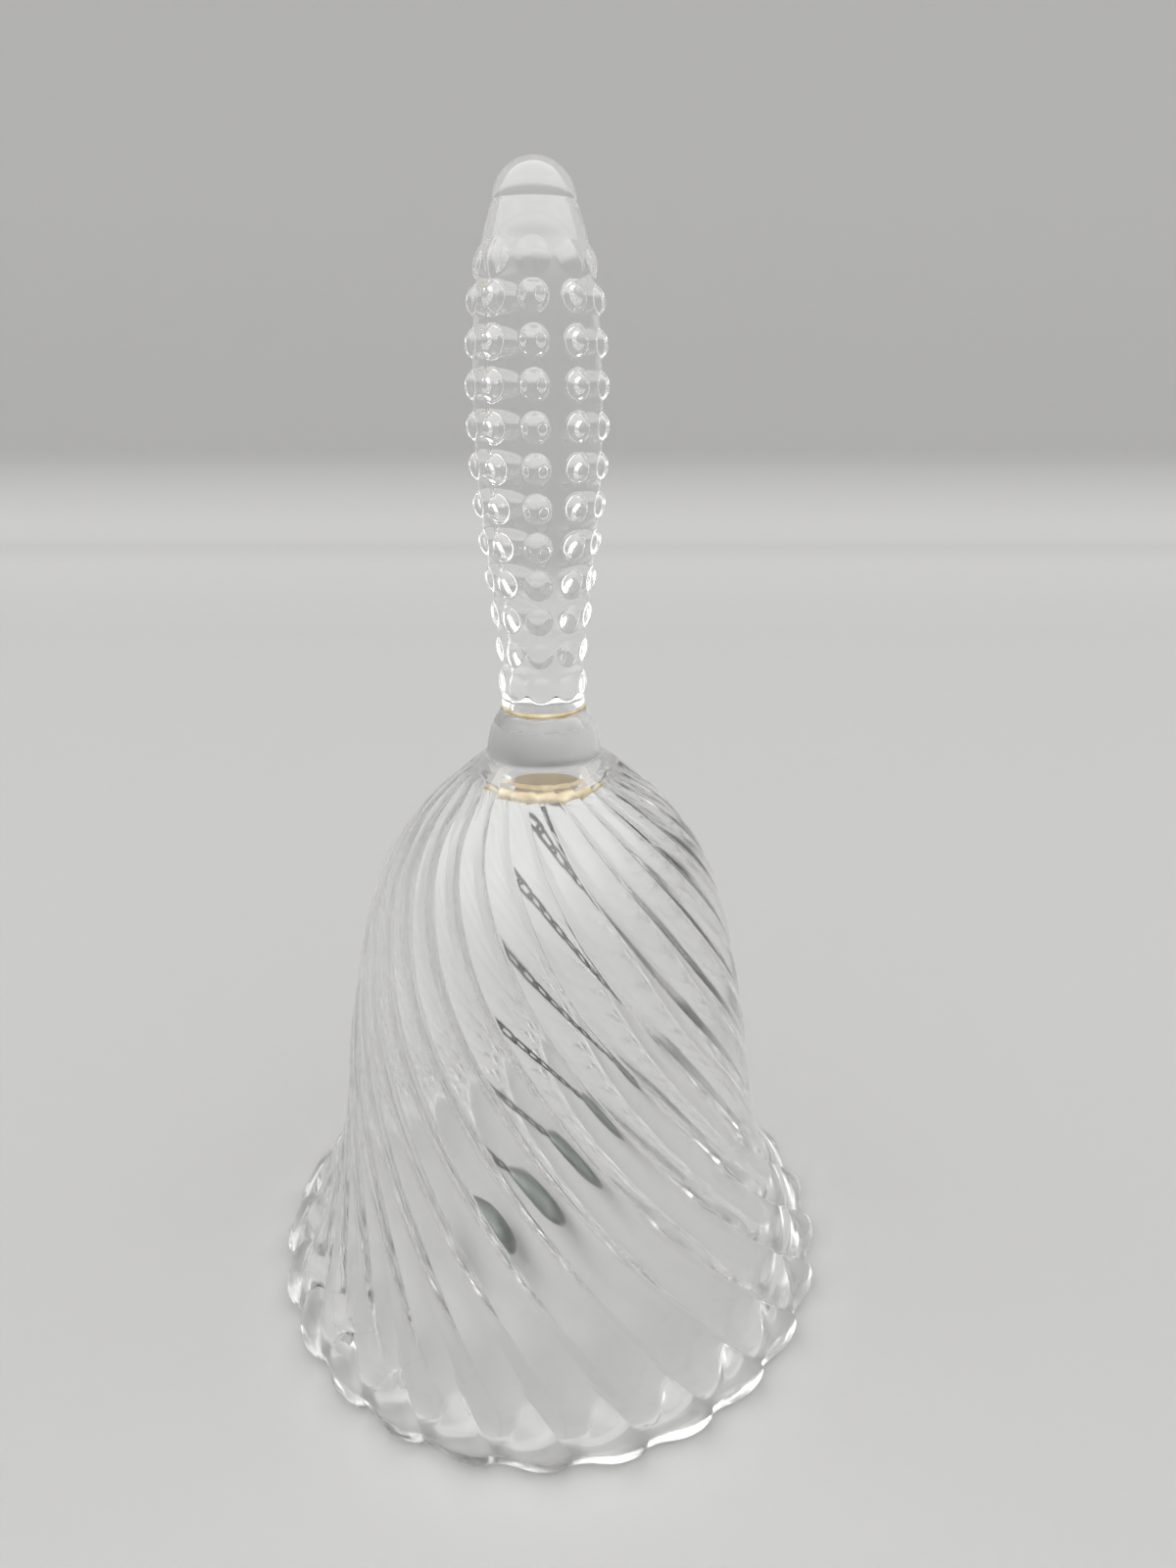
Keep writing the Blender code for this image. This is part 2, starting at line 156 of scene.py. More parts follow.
# Stage: a table that curves up into a wall
FLOOR_GAP = 0.1 * MM  # keeps the table just clear of the rim's ground face
STAGE_HALF_WIDTH = 2.5
STAGE_FRONT = -1.2
STAGE_BACK = 0.8
STAGE_TOP = 2.2
SWEEP_RADIUS = 0.08
PAPER_RUN = 1.6  # length of paper, back and up from the bell, that its tones span
# (distance in metres, tone); the rise in tone towards the sweep is painted light that offsets the
# shade the wall casts on the table
PAPER_TONES_WITH_PAINTED_LIGHT = ((0.0, 0.335), (0.45, 0.365), (0.7, 0.415), (0.84, 0.39), (0.95, 0.38), (1.2, 0.40))
TENT_STRENGTH = 2.8
TENT_SIDE = 0.2  # brightness of the horizon against the top
TENT_FROM = 0.1  # sines of the elevations between which the tent brightens
TENT_FULL = 0.8

# Surfaces
GLASS_IOR = 1.5
CEMENT_DARK = (0.42, 0.31, 0.15)
CEMENT_LIGHT = (0.62, 0.54, 0.37)
TONE_SPAN = (0.35, 0.65)  # noise values between which a two-tone surface changes
DULL_PATCH = 0.12  # roughness that the dark patches of metal add

# Camera
CAMERA_PLACE = (6.2 * MM, -130.4 * MM, 134.3 * MM)
CAMERA_PITCH = math.radians(21.89)
CAMERA_LENS = 22.5


# ------------------------------------------------------------------- helpers

def smooth_curve(points, per_span):
    """A Catmull-Rom curve through (radius, height) points in millimetres, as metres."""
    first = [2 * points[0][k] - points[1][k] for k in (0, 1)]
    last = [2 * points[-1][k] - points[-2][k] for k in (0, 1)]
    padded = [first, *points, last]
    curve = []
    for i in range(len(points) - 1):
        p0, p1, p2, p3 = padded[i:i + 4]
        for step in range(per_span):
            t = step / per_span
            curve.append(tuple(
                0.5 * MM * (2 * b + (c - a) * t + (2 * a - 5 * b + 4 * c - d) * t * t
                            + (3 * b - a - 3 * c + d) * t ** 3)
                for a, b, c, d in zip(p0, p1, p2, p3)
            ))
    curve.append((points[-1][0] * MM, points[-1][1] * MM))
    return curve


def smoothstep(value, low, high):
    """0 below low, 1 above high, with a smooth rise between; takes arrays."""
    t = np.clip((value - low) / (high - low), 0.0, 1.0)
    return t * t * (3 - 2 * t)


def band_faces(first, second, around):
    """Quads between two rings of points, given by the number of each ring's first point."""
    for k in range(around):
        n = (k + 1) % around
        yield first + k, second + k, second + n, first + n


def round_mesh(name, verts, faces):
    """A smooth-shaded mesh."""
    mesh = bpy.data.meshes.new(name)
    mesh.from_pydata(verts.tolist(), [], faces)
    mesh.update()
    mesh.shade_smooth()
    return mesh


def grid_mesh(name, rows, top, bottom):
    """A closed mesh through rows of points, each row a ring, with a pole at each end."""
    rows = np.asarray(rows)
    count, around = rows.shape[:2]
    verts = np.vstack([rows.reshape(-1, 3), [top], [bottom]])
    faces = []
    for i in range(count - 1):
        faces.extend(band_faces(i * around, (i + 1) * around, around))
    pole, end, last = len(verts) - 2, len(verts) - 1, (count - 1) * around
    for k in range(around):
        n = (k + 1) % around
        faces.append((pole, k, n))
        faces.append((end, last + n, last + k))
    return round_mesh(name, verts, faces)


def ring_mesh(name, rows):
    """A closed mesh through rings of points whose last ring joins the first."""
    rows = np.asarray(rows)
    count, around = rows.shape[:2]
    faces = []
    for i in range(count):
        faces.extend(band_faces(i * around, (i + 1) % count * around, around))
    return round_mesh(name, rows.reshape(-1, 3), faces)


def ring_of(radii, height, count):
    """A ring of points; radii and height may differ round it."""
    angle = 2 * math.pi * np.arange(count) / count
    r = np.broadcast_to(radii, angle.shape)
    z = np.broadcast_to(height, angle.shape)
    return np.stack([r * np.cos(angle), r * np.sin(angle), z], axis=1)


def add_piece(name, mesh, material, body, replaced):
    """Put a mesh into the scene, riding on a CAD body, in place of a CAD node."""
    piece = bpy.data.objects.new(name, mesh)
    bpy.context.scene.collection.objects.link(piece)
    mesh.materials.append(material)
    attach(piece, body)
    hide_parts(replaced)


# ----------------------------------------------------------------- materials

def new_material(name):
    """A material, its node tree and its Principled shader."""
    material = bpy.data.materials.new(name)
    material.use_nodes = True
    tree = material.node_tree
    return material, tree, tree.nodes["Principled BSDF"]


def set_values(shader, **values):
    """Set a shader's sockets by name, with underscores for spaces."""
    for key, value in values.items():
        shader.inputs[key.replace("_", " ")].default_value = value


def add_noise(tree, scale, detail):
    """Noise over the object's own coordinates; returns its value."""
    coordinates = tree.nodes.new("ShaderNodeTexCoord")
    noise = tree.nodes.new("ShaderNodeTexNoise")
    noise.inputs["Scale"].default_value = scale
    noise.inputs["Detail"].default_value = detail
    tree.links.new(coordinates.outputs["Object"], noise.inputs["Vector"])
    return noise.outputs["Fac"]


def map_range(tree, value, low, high, from_low=0.3, from_high=0.7):
    """Spread a value over a new range."""
    node = tree.nodes.new("ShaderNodeMapRange")
    node.inputs["From Min"].default_value = from_low
    node.inputs["From Max"].default_value = from_high
    node.inputs["To Min"].default_value = low
    node.inputs["To Max"].default_value = high
    tree.links.new(value, node.inputs["Value"])
    return node.outputs["Result"]


def add_bump(tree, shader, height, distance):
    """Bump from a height value."""
    bump = tree.nodes.new("ShaderNodeBump")
    bump.inputs["Strength"].default_value = 1.0
    bump.inputs["Distance"].default_value = distance
    tree.links.new(height, bump.inputs["Height"])
    tree.links.new(bump.outputs["Normal"], shader.inputs["Normal"])


def math_node(tree, operation, first, second):
    """The sum or product of a value and either another value or a number."""
    node = tree.nodes.new("ShaderNodeMath")
    node.operation = operation
    tree.links.new(first, node.inputs[0])
    if isinstance(second, float):
        node.inputs[1].default_value = second
    else:
        tree.links.new(second, node.inputs[1])
    return node.outputs["Value"]


def split_place(tree, place="Object"):
    """The X, Y and Z of a texture coordinate."""
    coordinates = tree.nodes.new("ShaderNodeTexCoord")
    split = tree.nodes.new("ShaderNodeSeparateXYZ")
    tree.links.new(coordinates.outputs[place], split.inputs["Vector"])
    return split.outputs


def add_band(tree, low, high, edge):
    """1 between two heights and 0 outside them, with soft edges."""
    height = split_place(tree)["Z"]
    rise = map_range(tree, height, 0.0, 1.0, low, low + edge)
    fall = map_range(tree, height, 0.0, 1.0, high, high - edge)
    return math_node(tree, "MULTIPLY", rise, fall)


def add_two_tones(tree, shader, value, dark, light):
    """Base colour between two tones, by a noise value."""
    ramp = tree.nodes.new("ShaderNodeValToRGB")
    for stop, place, tone in zip(ramp.color_ramp.elements, TONE_SPAN, (dark, light)):
        stop.position = place
        stop.color = (*tone, 1.0)
    tree.links.new(value, ramp.inputs["Fac"])
    tree.links.new(ramp.outputs["Color"], shader.inputs["Base Color"])


def glass_material(name, haze_span, tint, density, ripple, satin=None):
    """Clear soda glass: patchy haze, faint ripples and a slight tint in its depth.

    A satin span, from one height to another, is ground to a dull surface.
    """
    material, tree, shader = new_material(name)
    set_values(shader, Base_Color=(1.0, 1.0, 1.0, 1.0), Transmission_Weight=1.0, IOR=GLASS_IOR)
    haze = map_range(tree, add_noise(tree, 90.0, 3.0), *haze_span)
    if satin:
        ground = math_node(tree, "MULTIPLY", add_band(tree, *satin, SATIN_EDGE), SATIN_ROUGHNESS)
        haze = math_node(tree, "ADD", haze, ground)
    tree.links.new(haze, shader.inputs["Roughness"])
    add_bump(tree, shader, add_noise(tree, 260.0, 2.0), ripple)
    volume = tree.nodes.new("ShaderNodeVolumeAbsorption")
    volume.inputs["Color"].default_value = (*tint, 1.0)
    volume.inputs["Density"].default_value = density
    output = tree.nodes["Material Output"]
    tree.links.new(volume.outputs["Volume"], output.inputs["Volume"])
    return material


def cement_material():
    """Yellowed cement, amber with pale chalky patches."""
    material, tree, shader = new_material("aged_cement")
    add_two_tones(tree, shader, add_noise(tree, 700.0, 4.0), CEMENT_DARK, CEMENT_LIGHT)
    set_values(shader, Roughness=0.5)
    return material


def metal_material(name, dark, light, roughness, scale):
    """Dull plated metal with darker, rougher patches."""
    material, tree, shader = new_material(name)
    noise = add_noise(tree, scale, 4.0)
    add_two_tones(tree, shader, noise, dark, light)
    wear = map_range(tree, noise, roughness + DULL_PATCH, roughness)
    tree.links.new(wear, shader.inputs["Roughness"])
    set_values(shader, Metallic=1.0)
    return material


# ---------------------------------------------------------------- glass bell

def twist_table(outer):
    """Heights, rising, and the turn of the flutes there, counted from the rim plane."""
    run = 0.0
    turns = [0.0]
    for (r0, z0), (r1, z1) in zip(outer, outer[1:]):
        length = math.hypot(r1 - r0, z1 - z0)
        run += length
        lean = LEAN_AT_CROWN + (LEAN_AT_RIM - LEAN_AT_CROWN) * min(1.0, run / LEAN_GROWS_OVER)
        turns.append(turns[-1] + math.tan(lean) * length / (0.5 * (r0 + r1)))
    heights = [z for _, z in outer]
    return heights[::-1], [turn - turns[-1] for turn in turns][::-1]


def bulge(share):
    """Height of a flute across its width, from 0 in the groove to 1 on the crest."""
    return 1 - (2 * share - 1) ** 2


def lobe_edge(share):
    """Height of a lobe's upper edge, which rises along the lobe."""
    return LOBE_LOW + (LOBE_HIGH - LOBE_LOW) * smoothstep(share, *LOBE_RISE)


def lobe_height(share, height):
    """Height of a rim lobe: it swells, ends steeply and leaves a valley before the next."""
    swell = smoothstep(share, *LOBE_SWELL)
    past = np.clip((share - LOBE_END) / (1 - LOBE_END), 0, 1)
    end = np.sqrt(np.clip(1 - past ** 2, 0, 1))
    edge = lobe_edge(share)
    up = np.clip((height - BEAD_HEIGHT) / (edge - BEAD_HEIGHT), 0, 1)
    cap = LOBE_STEP + (1 - LOBE_STEP) * np.sqrt(np.clip(1 - up ** 2, 0, 1))
    return swell * end * np.where(height > edge, 0.0, cap)


def outer_surface(share, radius, height):
    """Radii round one ring of the outside."""
    width = 2 * math.pi * radius / FLUTES
    body = OUTER_RELIEF * width * smoothstep(radius, 0.9 * CROWN_FADE, 1.3 * CROWN_FADE)
    on_rim = 1 - smoothstep(height, *LOBE_BLEND)
    inside = RELIEF_INSIDE_OUTLINE * (body + (LOBE_RELIEF - body) * on_rim)
    flute = body * bulge(share) * (1 - on_rim)
    return radius - inside + flute + LOBE_RELIEF * lobe_height(share, height)


def inner_relief(radius, height):
    """Rib height on the inside, which dies out towards the rim and the crown."""
    width = 2 * math.pi * radius / FLUTES
    at_rim = smoothstep(height, 0.0, INNER_RELIEF_FADE)
    at_crown = smoothstep(radius, 0.8 * CROWN_FADE, 1.4 * CROWN_FADE)
    return INNER_RELIEF * width * at_rim * at_crown


def flute_shares():
    """Places across a flute, from 0 to 1, closer together near the grooves."""
    even = np.arange(FLUTE_SAMPLES) / FLUTE_SAMPLES
    return even - GROOVE_CROWDING * np.sin(2 * math.pi * even) / (2 * math.pi)


def bell_rows():
    """Rings of points from the neck's top down the outside and back up the cavity."""
    neck = smooth_curve(NECK_OUTLINE, 4)
    outer = smooth_curve(SHOULDER_TO_RIM_OUTLINE, 16)
    cavity = smooth_curve(CAVITY_OUTLINE, 12)
    heights, turns = twist_table(outer)
    radii = [r for r, _ in outer][::-1]
    share = np.tile(flute_shares(), FLUTES)
    flute = np.repeat(np.arange(FLUTES), FLUTE_SAMPLES)
    rows = []

    def add_row(r, z):
        z = np.broadcast_to(z, share.shape)
        turn = np.interp(z, heights, turns)
        angle = FLUTE_PHASE + turn + 2 * math.pi * (flute + share) / FLUTES
        rows.append(np.stack([r * np.cos(angle), r * np.sin(angle), z], axis=1))

    for r, z in neck:
        add_row(r, z)
    for r, z in outer:
        if z > LOBE_TOP_ROW:
            add_row(outer_surface(share, r, z), z)
    edge = lobe_edge(share)
    for k in range(ROWS_ABOVE_LOBES):
        z = LOBE_TOP_ROW + (edge + EDGE_DROP - LOBE_TOP_ROW) * k / (ROWS_ABOVE_LOBES - 1)
        add_row(outer_surface(share, np.interp(z, heights, radii), z), z)
    for k in range(ROWS_ON_LOBES):
        z = edge + (BEAD_HEIGHT - edge) * (k / ROWS_ON_LOBES) ** LOBE_ROW_POWER
        add_row(outer_surface(share, np.interp(z, heights, radii), z), z)
    bead = outer_surface(share, outer[-1][0], BEAD_HEIGHT)
    for k in range(ROWS_ROUND_LIP + 1):
        a = 0.5 * math.pi * k / ROWS_ROUND_LIP
        add_row(REST_OUTER_RADIUS + (bead - REST_OUTER_RADIUS) * math.cos(a),
                BEAD_HEIGHT * (1 - math.sin(a)))
    add_row(REST_INNER_RADIUS, 0.0)
    for r, z in cavity:
        add_row(r - inner_relief(r, z) * bulge(share), z)
    return rows


def build_bell(material):
    """The fluted bell with its scalloped rim and solid neck."""
    neck_top = NECK_OUTLINE[0][1] * MM
    mesh = grid_mesh("bell_glass", bell_rows(), (0, 0, neck_top), (0, 0, CAVITY_TOP))
    add_piece("bell_glass", mesh, material, BODY, "bell")


# -------------------------------------------------------------------- handle

def cap_height(across, along, top, width):
    """Height of a ball's cap with a radius of width, at a place given in shares of that radius."""
    ball = (width * width + top * top) / (2 * top)
    reach = np.clip(1 - across ** 2 - along ** 2, 0, None)
    off_axis = width * width * (1 - reach)
    return np.where(reach > 0, np.sqrt(ball * ball - off_axis) - (ball - top), 0.0)


def nub_field(radius, height, angle):
    """How far the hobnail pattern stands off the handle round one ring."""
    pitch = 2 * math.pi / NUBS_PER_ROW
    off = (angle - NUB_PHASE + 0.5 * pitch) % pitch - 0.5 * pitch
    across = radius * off
    along = (height - CROWN_ROW) / CROWN_NUB_RADIUS
    crown = cap_height(across / CROWN_NUB_RADIUS, along, CROWN_NUB_RELIEF, CROWN_NUB_RADIUS)
    row = min(max(round((FIRST_ROW - height) / ROW_PITCH), 0), NUB_ROWS - 1)
    along = (height - (FIRST_ROW - row * ROW_PITCH)) / NUB_RADIUS
    fade = smoothstep(row, LAST_FULL_ROW, NUB_ROWS - 1)
    top = NUB_HEIGHT + (BOTTOM_NUB_HEIGHT - NUB_HEIGHT) * fade
    return np.maximum(crown, cap_height(across / NUB_RADIUS, along, top, NUB_RADIUS))


def seam_field(radius, angle):
    """The fine line that the mould's two halves left."""
    height = 0.0
    for seam in SEAM_ANGLES:
        off = np.abs((angle - seam + math.pi) % (2 * math.pi) - math.pi) * radius
        height = height + SEAM_HEIGHT * np.exp(-(off / SEAM_WIDTH) ** 2)
    return height


def handle_rows():
    """Rings of points from the dome down to the foot."""
    angle = NUB_PHASE + 2 * math.pi * np.arange(HANDLE_SEGMENTS) / HANDLE_SEGMENTS
    levels = []
    rise = HANDLE_TOP - DOME_BASE
    for k in range(1, DOME_ROWS + 1):
        a = 0.5 * math.pi * k / DOME_ROWS
        levels.append((DOME_RADIUS * math.sin(a), DOME_BASE + rise * math.cos(a)))
    outline = smooth_curve(HANDLE_OUTLINE, 12)
    heights = [z for _, z in outline][::-1]
    radii = [r for r, _ in outline][::-1]
    steps = round((heights[-1] - HANDLE_FOOT) / HANDLE_ROW_STEP)
    for k in range(steps + 1):
        z = heights[-1] + (HANDLE_FOOT - heights[-1]) * k / steps
        levels.append((float(np.interp(z, heights, radii)), z))
    rows = []
    for radius, height in levels:
        r = radius + nub_field(radius, height, angle)
        if height < DOME_BASE:
            r = r + seam_field(radius, angle)
        rows.append(np.stack([r * np.cos(angle), r * np.sin(angle),
                              np.full(HANDLE_SEGMENTS, height)], axis=1))
    return rows


def build_handle(material):
    """The solid pressed handle with its rows of nubs."""
    mesh = grid_mesh("handle_glass", handle_rows(), (0, 0, HANDLE_TOP), (0, 0, HANDLE_FOOT))
    add_piece("handle_glass", mesh, material, BODY, "handle")


# -------------------------------------------------------------------- cement

def waves(count, parts):
    """An uneven edge: a sum of waves, each (number round the ring, depth, phase)."""
    angle = 2 * math.pi * np.arange(count) / count
    return sum(depth * np.sin(number * angle + phase) for number, depth, phase in parts)


def build_handle_cement(material):
    """The thin uneven layer squeezed between the neck and the handle."""
    count = 120
    low, high = JOINT_CEMENT_SPAN
    edge = waves(count, ((3, 0.06 * MM, 0.4), (7, 0.05 * MM, 2.0), (19, 0.03 * MM, 1.1)))
    rows = [ring_of(JOINT_CEMENT_RADIUS - inset * MM + edge, high - depth * MM, count)
            for inset, depth in JOINT_CEMENT_EDGE]
    mesh = grid_mesh("joint_cement", rows, (0, 0, high), (0, 0, low))
    add_piece("joint_cement", mesh, material, BODY, "handle_cement")


def build_crown_cement(material):
    """The plug in the crown: a poured lump with a ragged lower edge."""
    count = 8 * FLUTES
    ragged = waves(count, ((FLUTES, 0.22 * MM, 0.3), (5, 0.2 * MM, 1.0), (11, 0.14 * MM, 2.2),
                           (43, 0.07 * MM, 0.0)))
    drips = waves(count, ((4, 0.12 * MM, 0.9), (9, 0.1 * MM, 2.5), (FLUTES, 0.08 * MM, 1.3)))
    # (radius, share of the ragged edge, height, share of the drips), from the top down
    profile = [
        (PLUG_HOLE, 0.0, PLUG_TOP, 0.0),
        (PLUG_TOP_RADIUS, 0.0, PLUG_TOP, 0.0),
        (PLUG_TOP_RADIUS + 1.1 * MM, 0.0, PLUG_TOP - 0.7 * MM, 0.0),
        (PLUG_RADIUS - 0.3 * MM, 0.4, PLUG_SHOULDER, 0.0),
        (PLUG_RADIUS - 0.55 * MM, 0.8, PLUG_SHOULDER - 0.4 * MM, 0.0),
        (PLUG_RADIUS - 1.0 * MM, 1.0, PLUG_HEM, 0.3),
        (PLUG_RADIUS - 2.0 * MM, 1.0, PLUG_HEM - 0.45 * MM, 1.0),
        (PLUG_RADIUS - 3.8 * MM, 0.5, PLUG_BOTTOM + 0.2 * MM, 0.5),
        (PLUG_HOLE, 0.0, PLUG_BOTTOM, 0.0),
    ]
    rows = [ring_of(radius + rough * ragged, height + wet * drips, count)
            for radius, rough, height, wet in profile]
    mesh = ring_mesh("crown_plug", rows)
    add_piece("crown_plug", mesh, material, BODY, "crown_cement")


# --------------------------------------------------------- chain and clapper

def wire_rings(path, radius, turn, closed):
    """Rings of a round wire along a path of (side, height) in a standing plane turned about Z."""
    path = np.asarray(path)
    along = np.roll(path, -1, axis=0) - np.roll(path, 1, axis=0)
    along[0] = path[1] - path[0]
    if not closed:
        along[-1] = along[-2]
    along /= np.linalg.norm(along, axis=1)[:, None]
    angle = 2 * math.pi * np.arange(WIRE_SIDES) / WIRE_SIDES
    rings = []
    for (side, z), (ts, tz) in zip(path, along):
        s = side - tz * radius * np.cos(angle)
        h = z + ts * radius * np.cos(angle)
        d = radius * np.sin(angle)
        rings.append(np.stack([s * math.cos(turn) - d * math.sin(turn),
                               s * math.sin(turn) + d * math.cos(turn), h], axis=1))
    return rings


def contact_height(index):
    """Height of contact number index in the chain; 0 is on the anchor's eye."""
    top = ANCHOR_EYE_HEIGHT - EYE_RADIUS
    bottom = CLAPPER_EYE_HEIGHT + EYE_RADIUS - (0.5 * (WIRE + EYE_WIRE) + GAP)
    return top + (bottom - top) * index / LINKS


def build_link(number, material):
    """One closed oval link of round wire."""
    parent_wire = EYE_WIRE if number == 1 else WIRE
    arc_radius = 0.5 * (LINK_WIDTH - WIRE)
    top = contact_height(number - 1) + 0.5 * (parent_wire + WIRE) + GAP - arc_radius
    bottom = contact_height(number) + arc_radius
    path = []
    for start, here, there in ((0.0, top, bottom), (math.pi, bottom, top)):
        for k in range(ARC_STEPS + 1):
            a = start + math.pi * k / ARC_STEPS
            path.append((arc_radius * math.cos(a), here + arc_radius * math.sin(a)))
        side = path[-1][0]
        path.extend((side, here + (there - here) * k / 4) for k in range(1, 4))
    turn = CHAIN_TURN + 0.5 * math.pi * ((number - 1) % 2)
    name = f"link_wire_{number:02d}"
    mesh = ring_mesh(name, wire_rings(path, 0.5 * WIRE, turn, closed=True))
    body = f"link_{number:02d}"
    add_piece(name, mesh, material, body, f"chain_{body}")


def build_eye(name, replaced, eye_height, far_end, turn, body, material):
    """A wire eye bent from one piece of wire, with its shank reaching to far_end."""
    up = 1 if far_end > eye_height else -1
    path = [(0.0, far_end)]
    path += [(0.0, eye_height + up * (EYE_RADIUS + lead)) for lead in EYE_LEAD]
    start, end = EYE_SPAN
    for k in range(EYE_STEPS + 1):
        a = start + (end - start) * k / EYE_STEPS
        path.append((EYE_RADIUS * math.sin(a), eye_height + up * EYE_RADIUS * math.cos(a)))
    rings = wire_rings(path, 0.5 * EYE_WIRE, turn, closed=False)
    side, height = path[-1]
    tip = (side * math.cos(turn), side * math.sin(turn), height)
    mesh = grid_mesh(name, rings, (0, 0, far_end), tip)
    add_piece(name, mesh, material, body, replaced)


def build_clapper(material):
    """The drop: a ball that tapers to a small round tip with a hole for the eye's shank."""
    hole = 0.5 * EYE_WIRE + GAP
    taper = math.asin((CLAPPER_RADIUS - CLAPPER_TIP_RADIUS) / (CLAPPER_TIP_HEIGHT - CLAPPER_HEIGHT))
    edge = math.acos(hole / CLAPPER_TIP_RADIUS)
    floor = CLAPPER_TIP_HEIGHT + CLAPPER_TIP_RADIUS - SHANK_DEPTH - GAP
    profile = [(hole, floor)]
    for k in range(7):
        a = edge + (taper - edge) * k / 6
        profile.append((CLAPPER_TIP_RADIUS * math.cos(a),
                        CLAPPER_TIP_HEIGHT + CLAPPER_TIP_RADIUS * math.sin(a)))
    first = profile[-1]
    last = (CLAPPER_RADIUS * math.cos(taper), CLAPPER_HEIGHT + CLAPPER_RADIUS * math.sin(taper))
    for k in range(1, 8):
        profile.append(tuple(a + (b - a) * k / 8 for a, b in zip(first, last)))
    for k in range(28):
        a = taper + (-0.5 * math.pi - taper) * k / 28
        profile.append((CLAPPER_RADIUS * math.cos(a), CLAPPER_HEIGHT + CLAPPER_RADIUS * math.sin(a)))
    rows = [ring_of(r, z, 96) for r, z in profile]
    mesh = grid_mesh("clapper_drop", rows, (0, 0, floor), (0, 0, CLAPPER_HEIGHT - CLAPPER_RADIUS))
    add_piece("clapper_drop", mesh, material, "clapper_body", "clapper")


def build_chain(material):
    """The anchor in the crown, the links and the clapper's eye."""
    build_eye("anchor_eye", "chain_anchor", ANCHOR_EYE_HEIGHT, ANCHOR_TOP,
              CHAIN_TURN + 0.5 * math.pi, BODY, material)
    for number in range(1, LINKS + 1):
        build_link(number, material)
    shank_end = CLAPPER_TIP_HEIGHT + CLAPPER_TIP_RADIUS - SHANK_DEPTH
    build_eye("drop_eye", "clapper_eye", CLAPPER_EYE_HEIGHT, shank_end, CHAIN_TURN,
              "clapper_body", material)


# --------------------------------------------------------------------- stage

def build_stage():
    """A pale table that sweeps up into a slightly darker wall, its tone lifted towards the sweep
    with painted light against the shade the wall casts.
    """
    mesh = bpy.data.meshes.new("studio_sweep")
    sweep = bmesh.new()
    profile = [(STAGE_FRONT, 0.0), (STAGE_BACK, 0.0)]
    for k in range(1, 13):
        a = 0.5 * math.pi * k / 12
        profile.append((STAGE_BACK + SWEEP_RADIUS * math.sin(a), SWEEP_RADIUS * (1 - math.cos(a))))
    profile.append((STAGE_BACK + SWEEP_RADIUS, STAGE_TOP))
    sides = (-STAGE_HALF_WIDTH, STAGE_HALF_WIDTH)
    rows = [[sweep.verts.new((x, y, z)) for x in sides] for y, z in profile]
    for a, b in zip(rows, rows[1:]):
        sweep.faces.new((a[0], a[1], b[1], b[0]))
    sweep.to_mesh(mesh)
    sweep.free()
    mesh.shade_smooth()
    floor = bpy.data.objects.new("studio_sweep", mesh)
    floor.location.z = -FLOOR_GAP
    bpy.context.scene.collection.objects.link(floor)
    material, tree, shader = new_material("studio_paper_painted_light")
    # Tones by distance back and up the paper; the lighter tones near the sweep are painted light
    # that cancels the wall's shade on the table
    ramp = tree.nodes.new("ShaderNodeValToRGB")
    stops = ramp.color_ramp.elements
    for _ in range(len(PAPER_TONES_WITH_PAINTED_LIGHT) - len(stops)):
        stops.new(0.5)
    for stop, (distance, tone) in zip(stops, PAPER_TONES_WITH_PAINTED_LIGHT):
        stop.position = distance / PAPER_RUN
        stop.color = (tone, 0.995 * tone, 0.985 * tone, 1.0)
    place = split_place(tree)
    run = math_node(tree, "ADD", place["Y"], place["Z"])
    tree.links.new(math_node(tree, "MULTIPLY", run, 1 / PAPER_RUN), ramp.inputs["Fac"])
    tree.links.new(ramp.outputs["Color"], shader.inputs["Base Color"])
    set_values(shader, Roughness=0.9, Specular_IOR_Level=0.0)
    mesh.materials.append(material)


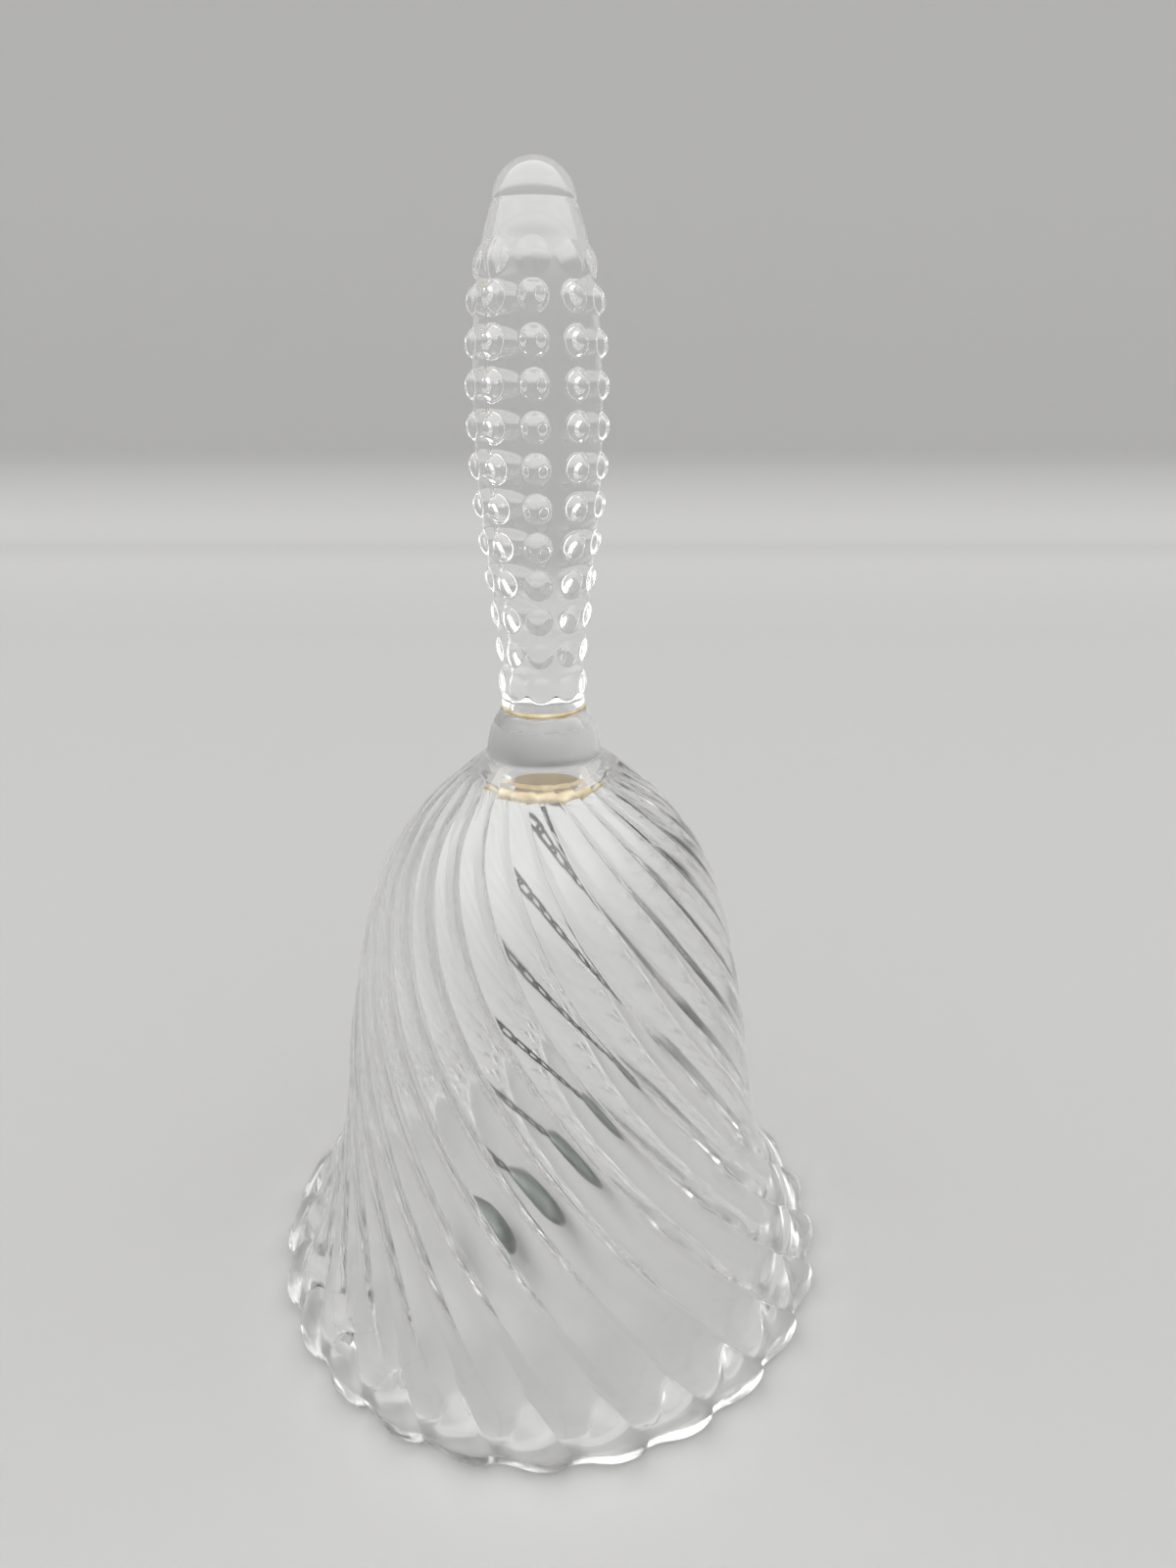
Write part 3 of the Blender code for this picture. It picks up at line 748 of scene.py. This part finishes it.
def build_lights():
    """A soft tent: bright overhead, dim round the horizon."""
    world = bpy.data.worlds.new("studio")
    bpy.context.scene.world = world
    world.use_nodes = True
    tree = world.node_tree
    rise = map_range(tree, split_place(tree, "Generated")["Z"], 0.0, 1.0, TENT_FROM, TENT_FULL)
    ramp = tree.nodes.new("ShaderNodeValToRGB")
    ramp.color_ramp.interpolation = "EASE"
    ramp.color_ramp.elements[0].color = (TENT_SIDE, TENT_SIDE, TENT_SIDE, 1.0)
    ramp.color_ramp.elements[1].color = (1.0, 1.0, 0.99, 1.0)
    tree.links.new(rise, ramp.inputs["Fac"])
    background = tree.nodes["Background"]
    tree.links.new(ramp.outputs["Color"], background.inputs["Color"])
    background.inputs["Strength"].default_value = TENT_STRENGTH


def build_camera():
    """The photograph's viewpoint."""
    camera = bpy.data.cameras.new("camera")
    camera.lens = CAMERA_LENS
    camera.sensor_width = 36.0
    camera.clip_start = 0.01
    item = bpy.data.objects.new("camera", camera)
    item.location = CAMERA_PLACE
    item.rotation_euler = (0.5 * math.pi - CAMERA_PITCH, 0.0, 0.0)
    bpy.context.scene.collection.objects.link(item)
    bpy.context.scene.camera = item


def set_rendering():
    """Enough bounces for four walls of glass, and plain tones."""
    scene = bpy.context.scene
    scene.view_settings.view_transform = "Standard"
    scene.cycles.max_bounces = 24
    scene.cycles.transmission_bounces = 24
    scene.cycles.glossy_bounces = 12
    scene.cycles.caustics_refractive = True
    scene.cycles.caustics_reflective = True
    scene.cycles.blur_glossy = 0.0


def main():
    """Dress the frame."""
    bell_glass = glass_material("bell_glass", (0.04, 0.13), (0.85, 0.87, 0.84), 6.0, 0.01 * MM,
                                SATIN_SPAN)
    handle_glass = glass_material("handle_glass", (0.0, 0.04), (0.84, 0.88, 0.87), 4.0, 0.005 * MM)
    cement = cement_material()
    steel = metal_material("chain_steel", (0.03, 0.03, 0.03), (0.14, 0.14, 0.135), 0.3, 900.0)
    drop_metal = metal_material("clapper_metal", (0.17, 0.19, 0.18), (0.27, 0.295, 0.285),
                                0.35, 300.0)
    build_bell(bell_glass)
    build_handle(handle_glass)
    build_handle_cement(cement)
    build_crown_cement(cement)
    build_chain(steel)
    build_clapper(drop_metal)
    build_stage()
    build_lights()
    build_camera()
    set_rendering()


main()
